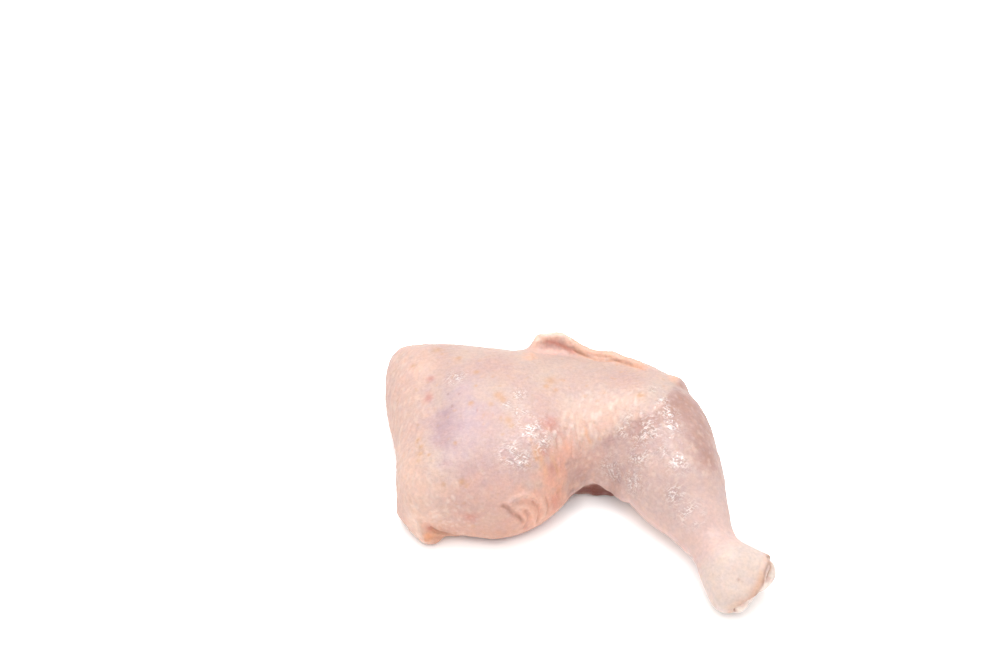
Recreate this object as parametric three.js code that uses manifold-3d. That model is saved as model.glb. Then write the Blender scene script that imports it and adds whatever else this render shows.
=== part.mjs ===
// A raw chicken leg quarter: the thigh and the drumstick in one piece, skin side up, as it lies on a table.
// Millimetres, +Z up. The origin is on the table, under the middle of the piece.
// Seen from above, the hip end is at the left (-X), the knee at the right and to the back (+Y),
// and the drumstick runs from the knee to the front (-Y), where it ends at the cut hock joint.
import * as THREE from "three";
import { mergeVertices } from "three/addons/utils/BufferGeometryUtils.js";
import Module from "manifold-3d";

const wasm = await Module();
wasm.setup();

// ---- Driving dimensions ----

// The places below are counted from a point on the table near the knee. This is the middle of the piece,
// seen from above, and becomes the origin.
const MIDDLE = [-3.2, 1.9];

const THIGH = {
  equator: 17, // height at which the thigh is widest
  crown: 40.5, // height of its top, away from the mounds and hollows below
  edgeTop: 30, // how far in from the outline the upper edge is still round
  edgeBottom: 13, // and the same for the edge that folds under
};

// The thigh seen from above, anticlockwise from the knee's back corner, round the hip, to the hollow of
// the knee.
const THIGH_OUTLINE = [
  [38.5, 43.5], [20, 54], [-8, 60], [-36, 63], [-62, 65], [-81, 61], [-82.5, 40], [-75.5, 8],
  [-73, -14], [-65.5, -25], [-46, -27], [-30, -28], [-14, -20], [-5, -9], [8, 3], [28, 8], [38, 24],
];

// Mounds and hollows of the thigh's top: muscle that lifts the skin, and the valley beside the rolled edge.
const MOUNDS = [
  { at: [-34, 22], rise: 3, reach: [22, 24], turn: 0 },
  { at: [-59, 16], rise: -2.4, reach: [6, 24], turn: 0.12 },
  { at: [-13, -4], rise: 3, reach: [14, 13], turn: 0.3 },
  { at: [10, 22], rise: 2, reach: [18, 12], turn: -0.3 },
];

// The drumstick's middle line: place and radius of the flesh, from the knee to the hock.
const DRUMSTICK = [
  { at: [24, 24, 23], radius: 10 },
  { at: [32, 15, 23], radius: 19.8 },
  { at: [36, 0, 21], radius: 20.5 },
  { at: [44.7, -16.5, 17.5], radius: 14.4 },
  { at: [53.3, -32.5, 13.5], radius: 9.7 },
  { at: [59.5, -43.5, 12.5], radius: 10.5 },
];
const DRUMSTICK_STEPS = 20;

// The skin over the two knobs of the hock, and the two planes of the cut that took off the foot.
const HOCK_KNOBS = [
  { at: [70, -43.5, 13], radius: 8.6 },
  { at: [59.5, -52.5, 10.5], radius: 8.8 },
];
const HOCK_CUTS = [
  { normal: [0.89, -0.43, -0.15], reach: 82 },
  { normal: [0.45, -0.88, -0.15], reach: 80.2 },
];

// The gristle-covered end of the shin bone: a spool that shows in the cut, on a stub of the shaft.
const BONE = {
  centre: [66.2, -48.9, 10],
  axis: [16, 19, 2], // from one knob of the spool towards the other
  knob: 7, // radius of the two knobs
  waist: 5, // radius of the groove between them
  half: 12.6, // from the middle of the spool to its end
  shaft: 4.5, // radius of the shaft
  stub: 20, // length of the shaft from the middle of the spool
};
const FIT_GAP = 0.35; // clearance between the bone and the flesh round it

// Loose skin. At the front corner of the hip end it is gathered into a blunt tip that is folded under.
const CORNER_FOLD = [
  { at: [-67, -14, 9], radius: 7 },
  { at: [-59.5, -22.5, 6.3], radius: 6.3 },
];
const KNEE_TIP = { at: [38, 38, 31.5], size: [4, 4, 4.5] };

// Behind the thigh a flap of skin stands up, and its free edge is rolled up like a cord.
const FLAP = {
  thickness: 4, // of the sheet where it stands free
  foot: 14, // height of its lower edge, inside the thigh
  swell: 2.5, // how much its half thickness grows towards the knee, where it lies against the thigh
  swellFrom: 0, // the stretch of X over which it grows
  swellTo: 12,
};
const ROLL_RADIUS = 2;
const ROLLED_EDGE = [
  [-22.4, 54.5, 32.5], [-19.4, 58.5, 35.3], [-15.5, 60, 36], [-11.3, 60.3, 36.1], [-7.6, 59, 35.1],
  [-4.7, 57.4, 34], [-0.9, 55.6, 33.5], [2.9, 54, 33.2], [7, 53, 33.6], [11.2, 52, 34.3],
  [15.3, 50, 34.2], [19.5, 47.6, 35], [23, 45, 35.4], [27, 41, 35.5],
];

// The arch under the web of skin that spans the bend of the knee, like the mouth of a low tunnel.
const KNEE_HOLLOW = { at: [4.8, -2, -1], size: [13, 17, 11.5] };
const HOLLOW_RIM = 3; // how wide its rim is rounded

// The net that the flesh is cast on: coarse over the thigh, finer at the folds, finest round the hock.
const CELL = 3.4;
const FOLD_CELL = 2.7;
const FINE_CELL = 2.3;
const NET = {
  x: [[-90, CELL], [-74, FOLD_CELL], [-50, CELL], [48, FINE_CELL], [88, 0]],
  y: [[-76, FINE_CELL], [-30, FOLD_CELL], [-14, CELL], [45, FOLD_CELL], [66, CELL], [73, 0]],
  z: [[-7, CELL], [60, 0]],
};

// ---- Helpers ----

const clamp = (value, low, high) => Math.min(high, Math.max(low, value));

// The smaller of two distances, rounded where they are within `blend` of each other.
function smoothUnion(a, b, blend) {
  const near = Math.max(blend - Math.abs(a - b), 0) / blend;
  return Math.min(a, b) - (near * near * blend) / 4;
}

// The part of solid a that lies outside solid b, with a rounded rim.
function smoothCut(a, b, blend) {
  return -smoothUnion(-a, b, blend);
}

// How far a point in plan lies inside a closed outline, negative outside it. Inside, the whole outline is
// weighed by the inverse cube of its distance. This is the true depth beside a straight edge, and it has no
// crease in front of a corner.
function depthInside(outline, x, y) {
  let nearest = Infinity;
  let inside = false;
  let pull = 0;
  for (let i = 0, j = outline.length - 1; i < outline.length; j = i++) {
    const a = outline[i];
    const b = outline[j];
    const length = Math.hypot(b.x - a.x, b.y - a.y);
    const [ux, uy] = [(b.x - a.x) / length, (b.y - a.y) / length];
    const along = (x - a.x) * ux + (y - a.y) * uy;
    const aside = Math.max(Math.abs((x - a.x) * uy - (y - a.y) * ux), 1e-3);
    const toA = Math.hypot(along, aside);
    const toB = Math.hypot(length - along, aside);
    pull += ((length - along) / toB + along / toA) / aside ** 2;
    nearest = Math.min(nearest, Math.hypot(along - clamp(along, 0, length), aside));
    if (a.y > y !== b.y > y && x < ((b.x - a.x) * (y - a.y)) / (b.y - a.y) + a.x) inside = !inside;
  }
  return inside ? Math.sqrt(2 / pull) : -nearest;
}

function ellipsoid({ at, size }, x, y, z) {
  const [u, v, w] = [(x - at[0]) / size[0], (y - at[1]) / size[1], (z - at[2]) / size[2]];
  const scaled = Math.hypot(u, v, w);
  const steep = Math.hypot(u / size[0], v / size[1], w / size[2]);
  return steep > 0 ? (scaled * (scaled - 1)) / steep : -Math.min(...size);
}

// A ball that grows or shrinks evenly on its way from a to b.
function roundCone(a, b, x, y, z) {
  const [dx, dy, dz] = [b.at[0] - a.at[0], b.at[1] - a.at[1], b.at[2] - a.at[2]];
  const [px, py, pz] = [x - a.at[0], y - a.at[1], z - a.at[2]];
  const t = clamp((px * dx + py * dy + pz * dz) / (dx * dx + dy * dy + dz * dz), 0, 1);
  return Math.hypot(px - dx * t, py - dy * t, pz - dz * t) - THREE.MathUtils.lerp(a.radius, b.radius, t);
}

const vectors = (points) => points.map((p) => new THREE.Vector3(...p));

const rollLine = new THREE.CatmullRomCurve3(vectors(ROLLED_EDGE));

// ---- The flesh and skin, as one solid ----

const outlinePoints = vectors(THIGH_OUTLINE.map(([x, y]) => [x, y, 0]));
const thighCurve = new THREE.CatmullRomCurve3(outlinePoints, true, "centripetal");
const thighLine = thighCurve.getSpacedPoints(90).slice(0, -1);

// The depth inside the thigh's outline, kept for the next call: a column of samples shares it.
const plan = { x: NaN, y: NaN, depth: 0 };
function thighDepth(x, y) {
  if (plan.x !== x || plan.y !== y) Object.assign(plan, { x, y, depth: depthInside(thighLine, x, y) });
  return plan.depth;
}

function mound({ at, rise, reach, turn }, x, y) {
  const u = (x - at[0]) * Math.cos(turn) + (y - at[1]) * Math.sin(turn);
  const v = (y - at[1]) * Math.cos(turn) - (x - at[0]) * Math.sin(turn);
  return rise * Math.exp(-((u / reach[0]) ** 2) - (v / reach[1]) ** 2);
}

// A cushion: half an ellipse from its equator up to the crown, and another down to the table.
function thigh(x, y, z) {
  const above = z > THIGH.equator;
  const edge = above ? THIGH.edgeTop : THIGH.edgeBottom;
  const crown = MOUNDS.reduce((height, m) => height + mound(m, x, y), THIGH.crown);
  const half = above ? crown - THIGH.equator : THIGH.equator + 1;
  const across = Math.max(0, 1 - thighDepth(x, y) / edge);
  return (Math.hypot(across, (z - THIGH.equator) / half) - 1) * Math.min(edge, half);
}

// The drumstick's stations joined by smooth curves, one for the place and one for the radius.
const shinPlace = new THREE.CatmullRomCurve3(vectors(DRUMSTICK.map((s) => s.at)));
const shinRadius = new THREE.CatmullRomCurve3(vectors(DRUMSTICK.map((s, i) => [i, s.radius, 0])));
const shin = Array.from({ length: DRUMSTICK_STEPS + 1 }, (_, i) => ({
  at: shinPlace.getPoint(i / DRUMSTICK_STEPS).toArray(),
  radius: shinRadius.getPoint(i / DRUMSTICK_STEPS).y,
}));

function drumstick(x, y, z) {
  let d = Infinity;
  for (let i = 1; i < shin.length; i++) d = Math.min(d, roundCone(shin[i - 1], shin[i], x, y, z));
  for (const knob of HOCK_KNOBS) d = smoothUnion(d, roundCone(shin.at(-1), knob, x, y, z), 4);
  return d;
}

// A sheet of skin that hangs down from the rolled edge, into the thigh.
const flapTop = rollLine.getSpacedPoints(24);
function backFlap(x, y, z) {
  const half = FLAP.thickness / 2 + FLAP.swell * THREE.MathUtils.smoothstep(x, FLAP.swellFrom, FLAP.swellTo);
  let nearest = Infinity;
  for (let i = 1; i < flapTop.length; i++) {
    const [a, b] = [flapTop[i - 1], flapTop[i]];
    const [dx, dy] = [b.x - a.x, b.y - a.y];
    const t = clamp(((x - a.x) * dx + (y - a.y) * dy) / (dx * dx + dy * dy), 0, 1);
    const top = THREE.MathUtils.lerp(a.z, b.z, t) + 0.5 - half;
    const above = Math.max(0, z - top, FLAP.foot - z);
    nearest = Math.min(nearest, Math.hypot(x - a.x - t * dx, y - a.y - t * dy, above));
  }
  return nearest - half;
}

function flesh(x, y, z) {
  let d = smoothUnion(thigh(x, y, z), roundCone(CORNER_FOLD[0], CORNER_FOLD[1], x, y, z), 2.5);
  d = smoothUnion(d, backFlap(x, y, z), 4);
  d = smoothUnion(d, drumstick(x, y, z), 20);
  d = smoothUnion(d, ellipsoid(KNEE_TIP, x, y, z), 4);
  return smoothCut(d, ellipsoid(KNEE_HOLLOW, x, y, z), HOLLOW_RIM);
}

// ---- Casting a solid from its distance function ----

// Grid lines of one axis, from stretches that each give their start and their spacing.
function gridLines(stretches) {
  const lines = [];
  for (let i = 1; i < stretches.length; i++) {
    const [from, spacing] = stretches[i - 1];
    const to = stretches[i][0];
    const steps = Math.round((to - from) / spacing);
    for (let n = 0; n < steps; n++) lines.push(from + ((to - from) * n) / steps);
  }
  return [...lines, stretches.at(-1)[0]];
}

// A surface net: one vertex in every cell that the surface passes through, and a quad round every edge that
// it crosses.
function surfaceNet(field, lines) {
  const [nx, ny, nz] = lines.map((axis) => axis.length);
  const index = (i, j, k) => (k * ny + j) * nx + i;
  const value = new Float64Array(nx * ny * nz);
  for (let j = 0; j < ny; j++)
    for (let i = 0; i < nx; i++)
      for (let k = 0; k < nz; k++) value[index(i, j, k)] = field(lines[0][i], lines[1][j], lines[2][k]);

  const vertexOf = new Int32Array(value.length).fill(-1);
  const vertices = [];
  const quads = [];
  const crossed = (from, to) => value[index(...from)] < 0 !== value[index(...to)] < 0;
  for (let k = 0; k < nz - 1; k++)
    for (let j = 0; j < ny - 1; j++)
      for (let i = 0; i < nx - 1; i++) {
        const crossings = [];
        for (let axis = 0; axis < 3; axis++)
          for (let side = 0; side < 4; side++) {
            const from = [i, j, k];
            from[(axis + 1) % 3] += side & 1;
            from[(axis + 2) % 3] += side >> 1;
            const to = from.slice();
            to[axis] += 1;
            if (!crossed(from, to)) continue;
            const a = value[index(...from)];
            const share = a / (a - value[index(...to)]);
            crossings.push(from.map((n, c) => THREE.MathUtils.lerp(lines[c][n], lines[c][to[c]], share)));
          }
        if (!crossings.length) continue;
        vertexOf[index(i, j, k)] = vertices.length;
        vertices.push([0, 1, 2].map((c) => crossings.reduce((sum, at) => sum + at[c], 0) / crossings.length));
        for (let axis = 0; axis < 3; axis++) {
          const from = [i, j, k];
          const to = from.slice();
          to[axis] += 1;
          if (!crossed(from, to)) continue;
          const around = [[0, 0], [-1, 0], [-1, -1], [0, -1]].map(([u, v]) => {
            const cell = from.slice();
            cell[(axis + 1) % 3] += u;
            cell[(axis + 2) % 3] += v;
            return vertexOf[index(...cell)];
          });
          quads.push(value[index(...from)] < 0 ? around : around.reverse());
        }
      }
  return { vertices, quads };
}

// Moves the net's vertices onto the true surface, and evens out their spacing along it.
function settle({ vertices, quads }, field, rounds) {
  const step = 0.05;
  const slope = ([x, y, z]) => [
    (field(x + step, y, z) - field(x - step, y, z)) / (2 * step),
    (field(x, y + step, z) - field(x, y - step, z)) / (2 * step),
    (field(x, y, z + step) - field(x, y, z - step)) / (2 * step),
  ];
  const neighbours = vertices.map(() => new Set());
  for (const quad of quads)
    quad.forEach((v, n) => neighbours[v].add(quad[(n + 1) % 4]).add(quad[(n + 3) % 4]));
  let placed = vertices;
  for (let round = 0; round <= rounds; round++) {
    const slopes = placed.map(slope);
    const evened = placed.map((p, v) => {
      if (round === rounds) return p;
      const g = slopes[v];
      const around = [...neighbours[v]].map((n) => placed[n]);
      const shift = p.map((c, axis) => around.reduce((sum, q) => sum + q[axis], 0) / around.length - c);
      const along = shift.reduce((sum, s, axis) => sum + s * g[axis], 0);
      const outward = along / Math.max(Math.hypot(...g) ** 2, 1e-9);
      return p.map((c, axis) => c + 0.5 * (shift[axis] - outward * g[axis]));
    });
    placed = evened.map((p, v) => {
      const g = slopes[v];
      const move = clamp(field(...p) / Math.max(Math.hypot(...g) ** 2, 0.05), -2, 2);
      return p.map((c, axis) => c - move * g[axis]);
    });
  }
  return placed;
}

function castFlesh() {
  const net = surfaceNet(flesh, [NET.x, NET.y, NET.z].map(gridLines));
  const onTable = settle(net, flesh, 3).map(([x, y, z]) => [x, y, Math.max(0, z)]);
  const far = (a, b) => Math.hypot(...onTable[a].map((c, axis) => c - onTable[b][axis]));
  const triangles = net.quads.flatMap(([a, b, c, d]) =>
    far(a, c) < far(b, d) ? [a, b, c, a, c, d] : [a, b, d, b, c, d]);
  return new THREE.BufferGeometry()
    .setAttribute("position", new THREE.Float32BufferAttribute(onTable.flat(), 3))
    .setIndex(triangles);
}

// ---- Joining and cutting ----

function toManifold(geometry) {
  const bare = geometry.clone();
  bare.deleteAttribute("normal");
  bare.deleteAttribute("uv");
  const merged = mergeVertices(bare, 1e-4);
  return new wasm.Manifold(new wasm.Mesh({
    numProp: 3,
    vertProperties: merged.attributes.position.array,
    triVerts: new Uint32Array(merged.index.array),
  }));
}

function toGeometry(solid) {
  const mesh = solid.getMesh();
  return new THREE.BufferGeometry()
    .setAttribute("position", new THREE.BufferAttribute(mesh.vertProperties, 3))
    .setIndex(new THREE.BufferAttribute(mesh.triVerts, 1));
}

// ---- The end of the shin bone ----

// The spool is turned about the line through the two knobs, and the shaft points back up the drumstick.
// `grow` makes it larger all over, for the hole that it sits in.
function boneEnd(grow) {
  const profile = [];
  const steps = 20;
  for (let i = 0; i <= steps; i++) {
    const along = -1 + (2 * i) / steps;
    const groove = Math.cos((along * Math.PI) / 1.1) * 0.5 + 0.5;
    const swell = THREE.MathUtils.lerp(BONE.knob, BONE.waist, groove ** 2);
    const rounding = Math.sqrt(Math.max(0, 1 - Math.abs(along) ** 4));
    profile.push(new THREE.Vector2((swell + grow) * rounding, along * (BONE.half + grow)));
  }
  const axis = new THREE.Vector3(...BONE.axis).normalize();
  const spool = new THREE.LatheGeometry(profile, 28)
    .applyQuaternion(new THREE.Quaternion().setFromUnitVectors(new THREE.Vector3(0, 1, 0), axis));

  const inward = new THREE.Vector3(...DRUMSTICK.at(-2).at).sub(new THREE.Vector3(...BONE.centre)).normalize();
  const shaft = new THREE.CylinderGeometry(BONE.shaft + grow, BONE.knob - 1 + grow, BONE.stub + grow, 20)
    .translate(0, (BONE.stub + grow) / 2, 0)
    .applyQuaternion(new THREE.Quaternion().setFromUnitVectors(new THREE.Vector3(0, 1, 0), inward));
  return toManifold(spool).add(toManifold(shaft)).translate(BONE.centre);
}

// ---- The rolled edge of the back flap ----

function rolledEdge() {
  const sides = 8;
  const steps = 30;
  const section = new THREE.Shape();
  section.absarc(0, 0, ROLL_RADIUS, 0, 2 * Math.PI);
  return toManifold(new THREE.ExtrudeGeometry(section, {
    curveSegments: sides,
    steps,
    extrudePath: rollLine,
  }));
}

// ---- Assembly ----

const skinMaterial = new THREE.MeshStandardMaterial({ color: 0xe9c9bf, roughness: 0.4 });
const gristleMaterial = new THREE.MeshStandardMaterial({ color: 0xe8d3cc, roughness: 0.3 });

const whole = toManifold(castFlesh()).add(rolledEdge());
const cutOff = HOCK_CUTS.reduce((solid, { normal, reach }) => {
  const inward = normal.map((n) => -n / Math.hypot(...normal));
  return solid.trimByPlane(inward, -reach / Math.hypot(...normal));
}, whole);
const legQuarter = cutOff.subtract(boneEnd(FIT_GAP));
const part = new THREE.Group();
for (const [name, solid, material] of [
  ["leg_quarter", legQuarter, skinMaterial],
  ["shin_bone_end", boneEnd(0), gristleMaterial],
]) {
  const mesh = new THREE.Mesh(toGeometry(solid.translate([-MIDDLE[0], -MIDDLE[1], 0])), material);
  mesh.name = name;
  part.add(mesh);
}

export default part;
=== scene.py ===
# %% [markdown]
# # A raw chicken leg quarter
# The thing is a thigh and a drumstick that are still joined at the knee, inside one wrap of wet
# skin. The imported CAD part holds its exact size and its main forms. This script dresses it: it
# turns the plain solid into skin with folds, wrinkles, feather follicles and a wet shine, adds
# the raw meat underneath, and sets the cut end of the shin bone into the hock.
#
# The frame comes first. It imports the CAD part at its true place and keeps its box.

# %% Load the imported frame
import math

import bpy
import numpy as np
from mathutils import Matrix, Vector, noise
from mathutils.bvhtree import BVHTree
from mathutils.kdtree import KDTree


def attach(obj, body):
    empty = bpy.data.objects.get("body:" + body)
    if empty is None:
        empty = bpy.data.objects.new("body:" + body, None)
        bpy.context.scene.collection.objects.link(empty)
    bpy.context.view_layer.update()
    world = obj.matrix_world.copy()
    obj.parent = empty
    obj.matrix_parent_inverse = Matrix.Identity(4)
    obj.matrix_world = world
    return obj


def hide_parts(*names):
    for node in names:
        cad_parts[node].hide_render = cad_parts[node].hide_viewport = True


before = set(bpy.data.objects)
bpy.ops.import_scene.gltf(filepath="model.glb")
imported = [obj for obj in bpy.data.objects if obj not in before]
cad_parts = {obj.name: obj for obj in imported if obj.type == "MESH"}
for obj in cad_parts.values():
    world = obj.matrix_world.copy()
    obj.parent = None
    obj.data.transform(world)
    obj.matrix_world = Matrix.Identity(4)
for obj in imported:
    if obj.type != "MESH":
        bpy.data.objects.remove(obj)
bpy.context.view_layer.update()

MM = 0.001

# %% [markdown]
# ## A few helpers
# Colours are written as the hex values that a colour picker gives. Shaders work in linear
# light, so one function turns them. A material is a tree of nodes, and one function adds any
# kind of node, sets its fields, and either sets or links each of its inputs.

# %% Colour and node helpers
def linear(hex_colour):
    """An sRGB hex colour as the linear colour that shaders work in, with alpha 1."""
    channels = [int(hex_colour[i : i + 2], 16) / 255 for i in (1, 3, 5)]
    return (*(c / 12.92 if c <= 0.04045 else ((c + 0.055) / 1.055) ** 2.4 for c in channels), 1.0)


def add_node(tree, kind, inputs=None, **settings):
    """Adds a node to a tree. An input's value is either linked, if it is a socket, or set."""
    node = tree.nodes.new(kind)
    for name, value in settings.items():
        setattr(node, name, value)
    for name, value in (inputs or {}).items():
        if isinstance(value, bpy.types.NodeSocket):
            tree.links.new(value, node.inputs[name])
        else:
            node.inputs[name].default_value = value
    return node


def new_material(name):
    """A material with an empty node tree, and that tree."""
    material = bpy.data.materials.new(name)
    material.use_nodes = True
    material.node_tree.nodes.clear()
    return material, material.node_tree


def only(piece):
    """Selects one object and nothing else, because an operator acts on all that is selected."""
    bpy.ops.object.select_all(action="DESELECT")
    piece.select_set(True)
    bpy.context.view_layer.objects.active = piece


def apply_modifier(piece, kind, **settings):
    """Adds a modifier to a piece, sets it, and applies it."""
    only(piece)
    bpy.ops.object.modifier_add(type=kind)
    modifier = piece.modifiers[-1]
    for name, value in settings.items():
        setattr(modifier, name, value)
    bpy.ops.object.modifier_apply(modifier=modifier.name)


# %% [markdown]
# ## The camera
# The camera stands in front of the part and above it. It looks down at 44 degrees from a metre
# away, through a long lens that hardly widens what is near. The focal length was first found in
# pixels of the picture, and a lens in millimetres follows from it.

# %% Camera
PHOTO_WIDTH, PHOTO_HEIGHT = 1000, 667
FOCAL_PX = 2439.0
SENSOR_WIDTH = 36.0
CAMERA_PLACE = Vector((3.2, -671.0, 743.1)) * MM
CAMERA_TURN = (math.radians(45.96), 0, math.radians(2.80))

bpy.ops.object.select_all(action="DESELECT")
bpy.ops.object.camera_add(location=CAMERA_PLACE, rotation=CAMERA_TURN)
camera = bpy.context.active_object
camera.name = "camera"
camera.data.sensor_width = SENSOR_WIDTH
camera.data.lens = FOCAL_PX * SENSOR_WIDTH / PHOTO_WIDTH
bpy.context.scene.camera = camera
bpy.context.view_layer.update()
CAMERA_AXES = camera.matrix_world.to_3x3()
print("lens, mm:", round(camera.data.lens, 2))

# %% [markdown]
# ## Floor, lights and world
# The part lies on a white table that glows a little from below, as one for product shots does,
# so it turns pure white and only the shadows near the part show. The glow is blocked where
# something lies close over the table, which an ambient occlusion node tells. Three wide soft
# lights hang above the part: over it, towards the camera and behind. They light the skin but
# don't show in it. A fourth, bright one behind the part does the opposite: it lights nothing
# and is only mirrored, in small dots where the skin is wet, and these are the sparkle.

# %% Floor: lit white acrylic, an even white to the eye with soft shadows only near the part
FLOOR_SIZE = 6.0
TABLE_GLOW = 0.55
GLOW_REACH = 9 * MM

bpy.ops.object.select_all(action="DESELECT")
bpy.ops.mesh.primitive_plane_add(size=FLOOR_SIZE, location=(0, 0, 0))
floor = bpy.context.active_object
floor.name = "floor"
table, tree = new_material("glowing white acrylic table")
openness = add_node(
    tree, "ShaderNodeAmbientOcclusion", {"Distance": GLOW_REACH}, samples=8,
).outputs["AO"]
glow = add_node(tree, "ShaderNodeMath", {0: openness, 1: TABLE_GLOW}, operation="MULTIPLY")
shader = add_node(
    tree,
    "ShaderNodeBsdfPrincipled",
    {
        "Base Color": linear("#F4F4F4"),
        "Roughness": 0.9,
        "Specular IOR Level": 0.1,
        "Emission Color": linear("#FFFFFF"),
        "Emission Strength": glow.outputs["Value"],
    },
)
add_node(tree, "ShaderNodeOutputMaterial", {"Surface": shader.outputs["BSDF"]})
floor.data.materials.append(table)
print("floor, m:", [round(side, 1) for side in floor.dimensions])

# %% Lights and world
TARGET = Vector((0, 0, 20)) * MM
ROOM_LIGHT = 0.35


def softbox(name, place, width, depth, watts, mirrored=False):
    """A white area light, placed and sized in metres, that lights the part or is mirrored in it."""
    bpy.ops.object.light_add(type="AREA", location=place)
    lamp = bpy.context.active_object
    lamp.name = name
    lamp.data.shape = "RECTANGLE"
    lamp.data.size, lamp.data.size_y = width, depth
    lamp.data.energy = watts
    lamp.visible_glossy = mirrored
    lamp.visible_diffuse = lamp.visible_transmission = not mirrored
    lamp.rotation_euler = (TARGET - Vector(place)).to_track_quat("-Z", "Y").to_euler()
    print(name, "gives", watts, "W")


softbox("overhead_light", (-0.15, 0.15, 1.10), 1.0, 0.7, 5.0)
softbox("front_light", (0.05, -0.62, 1.05), 1.2, 0.5, 8.0)
softbox("back_light", (0.0, 0.38, 1.12), 0.55, 0.16, 8.0)
softbox("sparkle_light", (0.0, 0.40, 1.12), 0.80, 0.40, 55.0, mirrored=True)
world = bpy.data.worlds.new("white room")
world.use_nodes = True
background = world.node_tree.nodes["Background"]
background.inputs["Color"].default_value = linear("#FFFFFF")
background.inputs["Strength"].default_value = ROOM_LIGHT
bpy.context.scene.world = world
bpy.context.scene.view_settings.view_transform = "Standard"
bpy.context.scene.view_settings.look = "None"

# %% [markdown]
# ## The skin's mesh
# A CAD solid is a mesh of loose triangles, big where the form is plain, so it can't be
# sculpted. A copy of it is merged into one closed surface. The Remesh modifier then covers the
# copy in small even squares, as a sculptor does with clay before the fine work. The side that
# shows is divided once more, because follicles and wrinkles are only about a millimetre wide.

# %% A copy of the CAD solid, remeshed
VOXEL = 1.17 * MM
FINE_FACES_ABOVE = -0.25
SAME_PLACE = 0.01 * MM


def workable_copy(node, name):
    """A closed copy of a CAD node as a new object, free of the frame's own marks."""
    only(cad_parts[node])
    bpy.ops.object.duplicate()
    piece = bpy.context.active_object
    piece.name = piece.data.name = name
    piece.parent = None
    for mark in list(piece.keys()):
        del piece[mark]
    piece.data.materials.clear()
    bpy.ops.object.mode_set(mode="EDIT")
    bpy.ops.mesh.select_all(action="SELECT")
    bpy.ops.mesh.remove_doubles(threshold=SAME_PLACE)
    bpy.ops.object.mode_set(mode="OBJECT")
    return piece


def triangles(piece):
    """How many triangles the faces of a piece make."""
    return sum(len(face.vertices) - 2 for face in piece.data.polygons)


skin = workable_copy("leg_quarter", "leg_skin")
apply_modifier(skin, "REMESH", mode="VOXEL", voxel_size=VOXEL)
apply_modifier(skin, "SMOOTH", factor=0.5, iterations=5)
only(skin)
bpy.ops.object.mode_set(mode="EDIT")
bpy.ops.mesh.select_mode(type="FACE")
bpy.ops.mesh.select_all(action="DESELECT")
bpy.ops.object.mode_set(mode="OBJECT")
for face in skin.data.polygons:
    face.select = face.normal.z > FINE_FACES_ABOVE
bpy.ops.object.mode_set(mode="EDIT")
bpy.ops.mesh.subdivide(number_cuts=1, smoothness=0)
bpy.ops.object.mode_set(mode="OBJECT")
apply_modifier(skin, "SMOOTH", factor=0.5, iterations=3)
print("skin triangles:", triangles(skin))

# %% [markdown]
# ## Tools for working the skin
# Sculpting in code means moving each point of the mesh along its normal by a height in
# millimetres, worked out for all points at once with numpy. A place on the skin is found as the
# eye finds it: a line of sight goes from the camera through a pixel of the 1000 x 667 picture,
# and the point where it meets the skin is taken. Strokes then follow smooth lines through such
# points.

# %% Reading and moving the skin
def read(values, field):
    """Three numbers for each item of a mesh, as an array of rows."""
    flat = np.empty(len(values) * 3, np.float32)
    values.foreach_get(field, flat)
    return flat.reshape(-1, 3).astype(float)


def refresh():
    """Reads the skin's points, in mm, and its normals into place and normal."""
    global place, normal
    skin.data.update()
    place = read(skin.data.vertices, "co") / MM
    normal = read(skin.data.vertex_normals, "vector")


def shift_skin(offsets):
    """Moves every point by its own offset in mm, but not below the floor."""
    moved = place + offsets
    moved[:, 2] = np.maximum(moved[:, 2], 0)
    skin.data.vertices.foreach_set("co", (moved * MM).astype(np.float32).ravel())
    refresh()


def raise_skin(height):
    """Moves every point along its normal by its own height in mm."""
    shift_skin(normal * height[:, None])


refresh()
print("points of the skin:", len(place))
skin_tree = BVHTree.FromObject(skin, bpy.context.evaluated_depsgraph_get())

# %% Places and lines on the skin
def seen_at(px, py):
    """The place on the skin, in mm, that the camera sees at a pixel of the picture."""
    ray = Vector((px - PHOTO_WIDTH / 2, PHOTO_HEIGHT / 2 - py, -FOCAL_PX)).normalized()
    ray = CAMERA_AXES @ ray
    hit = skin_tree.ray_cast(CAMERA_PLACE, ray)[0]
    if hit is None:
        print("off the skin:", px, py)
        hit = skin_tree.find_nearest(CAMERA_PLACE + ray * CAMERA_PLACE.length)[0]
    return np.array(hit) / MM


def seen_line(pixels):
    """The places seen at some pixels."""
    return [seen_at(*pixel) for pixel in pixels]


def smooth_line(knots, steps=6):
    """A curve through some places (a Catmull-Rom spline)."""
    knots = [np.array(knot, float) for knot in knots]
    knots = [2 * knots[0] - knots[1], *knots, 2 * knots[-1] - knots[-2]]
    line = []
    for a, b, c, d in zip(knots, knots[1:], knots[2:], knots[3:]):
        for t in np.arange(steps) / steps:
            curve = (c - a) * t + (2 * a - 5 * b + 4 * c - d) * t**2
            line.append(b + (curve + (3 * b - a - 3 * c + d) * t**3) / 2)
    return [*line, knots[-2]]


def distance_to(line):
    """How far each point of the skin is from a line, in mm."""
    best = np.full(len(place), 1e9)
    for a, b in zip(line, line[1:]):
        share = np.clip((place - a) @ (b - a) / ((b - a) @ (b - a)), 0, 1)
        best = np.minimum(best, np.linalg.norm(place - a - share[:, None] * (b - a), axis=1))
    return best


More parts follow.
